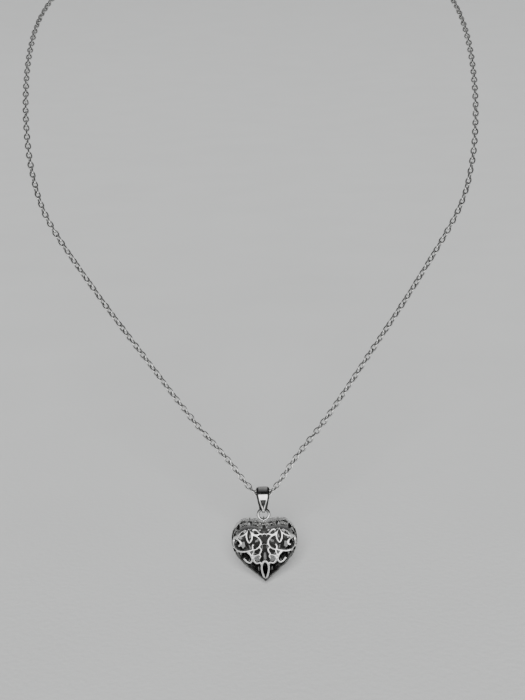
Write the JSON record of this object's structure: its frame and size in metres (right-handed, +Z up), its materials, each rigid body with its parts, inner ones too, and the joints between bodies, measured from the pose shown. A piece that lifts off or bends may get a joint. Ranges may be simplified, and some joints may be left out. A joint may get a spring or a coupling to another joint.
{
  "type": "heart pendant necklace",
  "caption": "Puffed openwork heart pendant on a tapered bail, hung on a fine cable chain that closes with a lobster clasp.",
  "frame": {"origin": "the point at the nape that the closed clasp rests on, at the middle of the clasp", "axes": "+Z up as the necklace is worn, the front of the pendant towards -Y, +X to the right seen from the front"},
  "size_m": [0.1136, 0.11, 0.153],
  "materials": {
    "polished_silver": "polished rhodium-plated silver",
    "chain_silver": "polished silver wire links",
    "spring_steel": "plain spring steel"
  },
  "bodies": {
    "necklace": {"chain": "chain_silver", "end_ring_left": "chain_silver", "end_ring_right": "chain_silver", "clasp_body": "polished_silver", "clasp_pin": "polished_silver", "clasp_spring": "spring_steel"},
    "bail": {"bail": "polished_silver"},
    "ring": {"jump_ring": "polished_silver"},
    "heart": {"heart_front": "polished_silver", "heart_back": "polished_silver", "heart_loop": "polished_silver"},
    "lever": {"clasp_lever": "polished_silver"}
  },
  "joints": [
    {"name": "bail_swing", "type": "hinge", "parent": "necklace", "child": "bail", "pos_m": [0, -0.1045, -0.12875], "axis": [1, 0, 0], "range_deg": [-90, 90]},
    {"name": "ring_swing", "type": "hinge", "parent": "bail", "child": "ring", "pos_m": [0, -0.1045, -0.13285], "axis": [1, 0, 0], "range_deg": [-45, 45]},
    {"name": "heart_sway", "type": "hinge", "parent": "ring", "child": "heart", "pos_m": [0, -0.1045, -0.13415], "axis": [0, 1, 0], "range_deg": [-45, 45]},
    {"name": "clasp_open", "type": "hinge", "parent": "necklace", "child": "lever", "pos_m": [-0.00075, 0, -0.00075], "axis": [0, -1, 0], "range_deg": [0, 24], "stiffness_Nm_per_rad": 0.0002, "springref_deg": -28.65}
  ]
}
